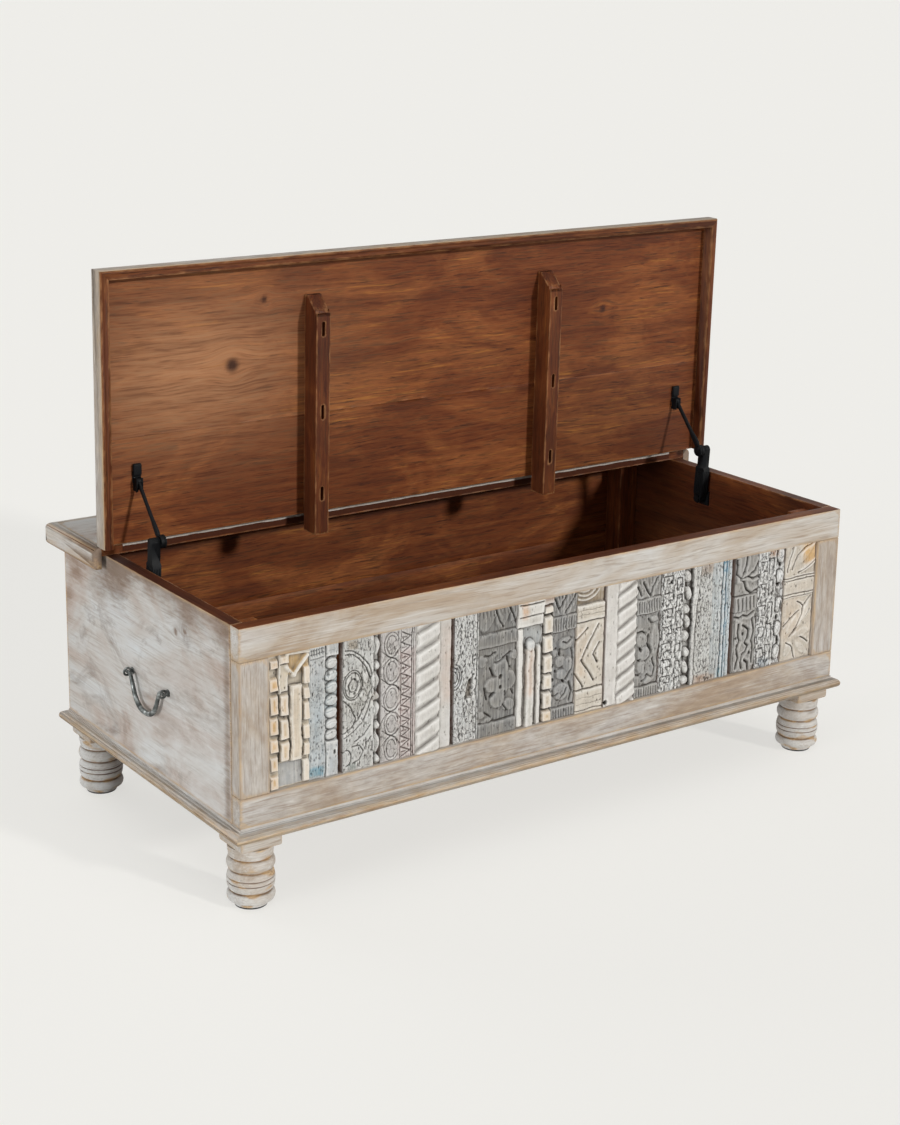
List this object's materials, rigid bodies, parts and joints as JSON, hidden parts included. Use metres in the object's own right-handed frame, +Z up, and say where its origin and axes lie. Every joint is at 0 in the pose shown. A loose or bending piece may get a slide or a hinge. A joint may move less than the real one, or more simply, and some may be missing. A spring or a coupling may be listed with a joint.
{
  "type": "storage bench",
  "caption": "Low wooden storage bench on turned feet, with a front of carved strips, bail handles and a hinged lid held open by folding stays.",
  "frame": {"origin": "on the floor, under the middle of the bench's bounding box with its lid open", "axes": "+X along the bench to the viewer's right, +Y to its back, +Z up"},
  "size_m": [1.2, 0.593, 0.8762],
  "materials": {
    "whitewashed_wood": "matt whitewash rubbed through to the wood",
    "stained_wood": "satin brown stain",
    "carved_white": "crackled white paint on carved wood",
    "carved_grey": "worn grey paint on carved wood",
    "carved_cream": "worn cream paint on carved wood",
    "carved_blue": "worn pale blue paint on carved wood",
    "hinge_steel": "dull plated steel",
    "screw_steel": "dull zinc",
    "black_stay": "black satin paint",
    "wrought_iron": "dark iron, rubbed bright",
    "glide_plastic": "matt black"
  },
  "bodies": {
    "chest": {"back_panel": "stained_wood", "base_moulding_back": "whitewashed_wood", "base_moulding_front": "whitewashed_wood", "base_moulding_left": "whitewashed_wood", "base_moulding_right": "whitewashed_wood", "carved_strip_01": "carved_cream", "carved_strip_02": "carved_blue", "carved_strip_03": "carved_white", "carved_strip_04": "carved_cream", "carved_strip_05": "carved_white", "carved_strip_06": "carved_white", "carved_strip_07": "carved_grey", "carved_strip_08": "carved_white", "carved_strip_09": "carved_grey", "carved_strip_10": "carved_cream", "carved_strip_11": "carved_white", "carved_strip_12": "carved_grey", "carved_strip_13": "carved_white", "carved_strip_14": "carved_white", "carved_strip_15": "carved_blue", "carved_strip_16": "carved_grey", "carved_strip_17": "carved_white", "carved_strip_18": "carved_cream", "corner_posts": "stained_wood", "floor_panel": "stained_wood", "foot_back_left": "whitewashed_wood", "foot_back_right": "whitewashed_wood", "foot_blocks": "whitewashed_wood", "foot_front_left": "whitewashed_wood", "foot_front_right": "whitewashed_wood", "foot_glides": "glide_plastic", "front_backing_board": "stained_wood", "front_bottom_rail": "whitewashed_wood", "front_left_stile": "whitewashed_wood", "front_right_stile": "whitewashed_wood", "front_top_rail": "whitewashed_wood", "handle_eyes": "wrought_iron", "hinge_fixed_leaf": "hinge_steel", "hinge_pin": "hinge_steel", "left_side_panel": "whitewashed_wood", "rear_lipping_back": "whitewashed_wood", "rear_side_lippings": "whitewashed_wood", "rear_top_board": "whitewashed_wood", "right_side_panel": "whitewashed_wood", "stay_wall_plates": "black_stay"},
    "lid": {"batten_screws": "screw_steel", "hinge_lid_leaf": "hinge_steel", "lid_batten_left": "stained_wood", "lid_batten_right": "stained_wood", "lid_lipping_front": "whitewashed_wood", "lid_lipping_left": "whitewashed_wood", "lid_lipping_right": "whitewashed_wood", "lid_panel": "stained_wood", "stay_lid_brackets": "black_stay"},
    "handle_left": {"handle_left": "wrought_iron"},
    "handle_right": {"handle_right": "wrought_iron"},
    "stay_housing_left": {"stay_housing_left": "black_stay"},
    "stay_housing_right": {"stay_housing_right": "black_stay"},
    "stay_rod_left": {"stay_rod_left": "black_stay"},
    "stay_rod_right": {"stay_rod_right": "black_stay"}
  },
  "joints": [
    {"name": "lid_hinge", "type": "hinge", "parent": "chest", "child": "lid", "pos_m": [0, 0.122, 0.451], "axis": [1, 0, 0], "range_deg": [0, 89]},
    {"name": "stay_wall_pivot_left", "type": "hinge", "parent": "chest", "child": "stay_housing_left", "pos_m": [-0.547, 0.0315, 0.381], "axis": [1, 0, 0], "range_deg": [0, 100.1]},
    {"name": "stay_lid_pivot_left", "type": "hinge", "parent": "lid", "child": "stay_rod_left", "pos_m": [-0.5365, 0.09368, 0.54952], "axis": [1, 0, 0], "range_deg": [-98.6, 0]},
    {"name": "stay_wall_pivot_right", "type": "hinge", "parent": "chest", "child": "stay_housing_right", "pos_m": [0.547, 0.0315, 0.381], "axis": [1, 0, 0], "range_deg": [0, 100.1]},
    {"name": "stay_lid_pivot_right", "type": "hinge", "parent": "lid", "child": "stay_rod_right", "pos_m": [0.5365, 0.09368, 0.54952], "axis": [1, 0, 0], "range_deg": [-98.6, 0]},
    {"name": "handle_swing_left", "type": "hinge", "parent": "chest", "child": "handle_left", "pos_m": [-0.587, -0.0135, 0.271], "axis": [0, 1, 0], "range_deg": [-4, 165]},
    {"name": "handle_swing_right", "type": "hinge", "parent": "chest", "child": "handle_right", "pos_m": [0.587, -0.0135, 0.271], "axis": [0, -1, 0], "range_deg": [-4, 165]}
  ],
  "couplings": [
    {"joint": "stay_wall_pivot_left", "follows": "lid_hinge", "ratio": 1.1241},
    {"joint": "stay_lid_pivot_left", "follows": "lid_hinge", "ratio": -1.107},
    {"joint": "stay_wall_pivot_right", "follows": "lid_hinge", "ratio": 1.1241},
    {"joint": "stay_lid_pivot_right", "follows": "lid_hinge", "ratio": -1.107}
  ]
}
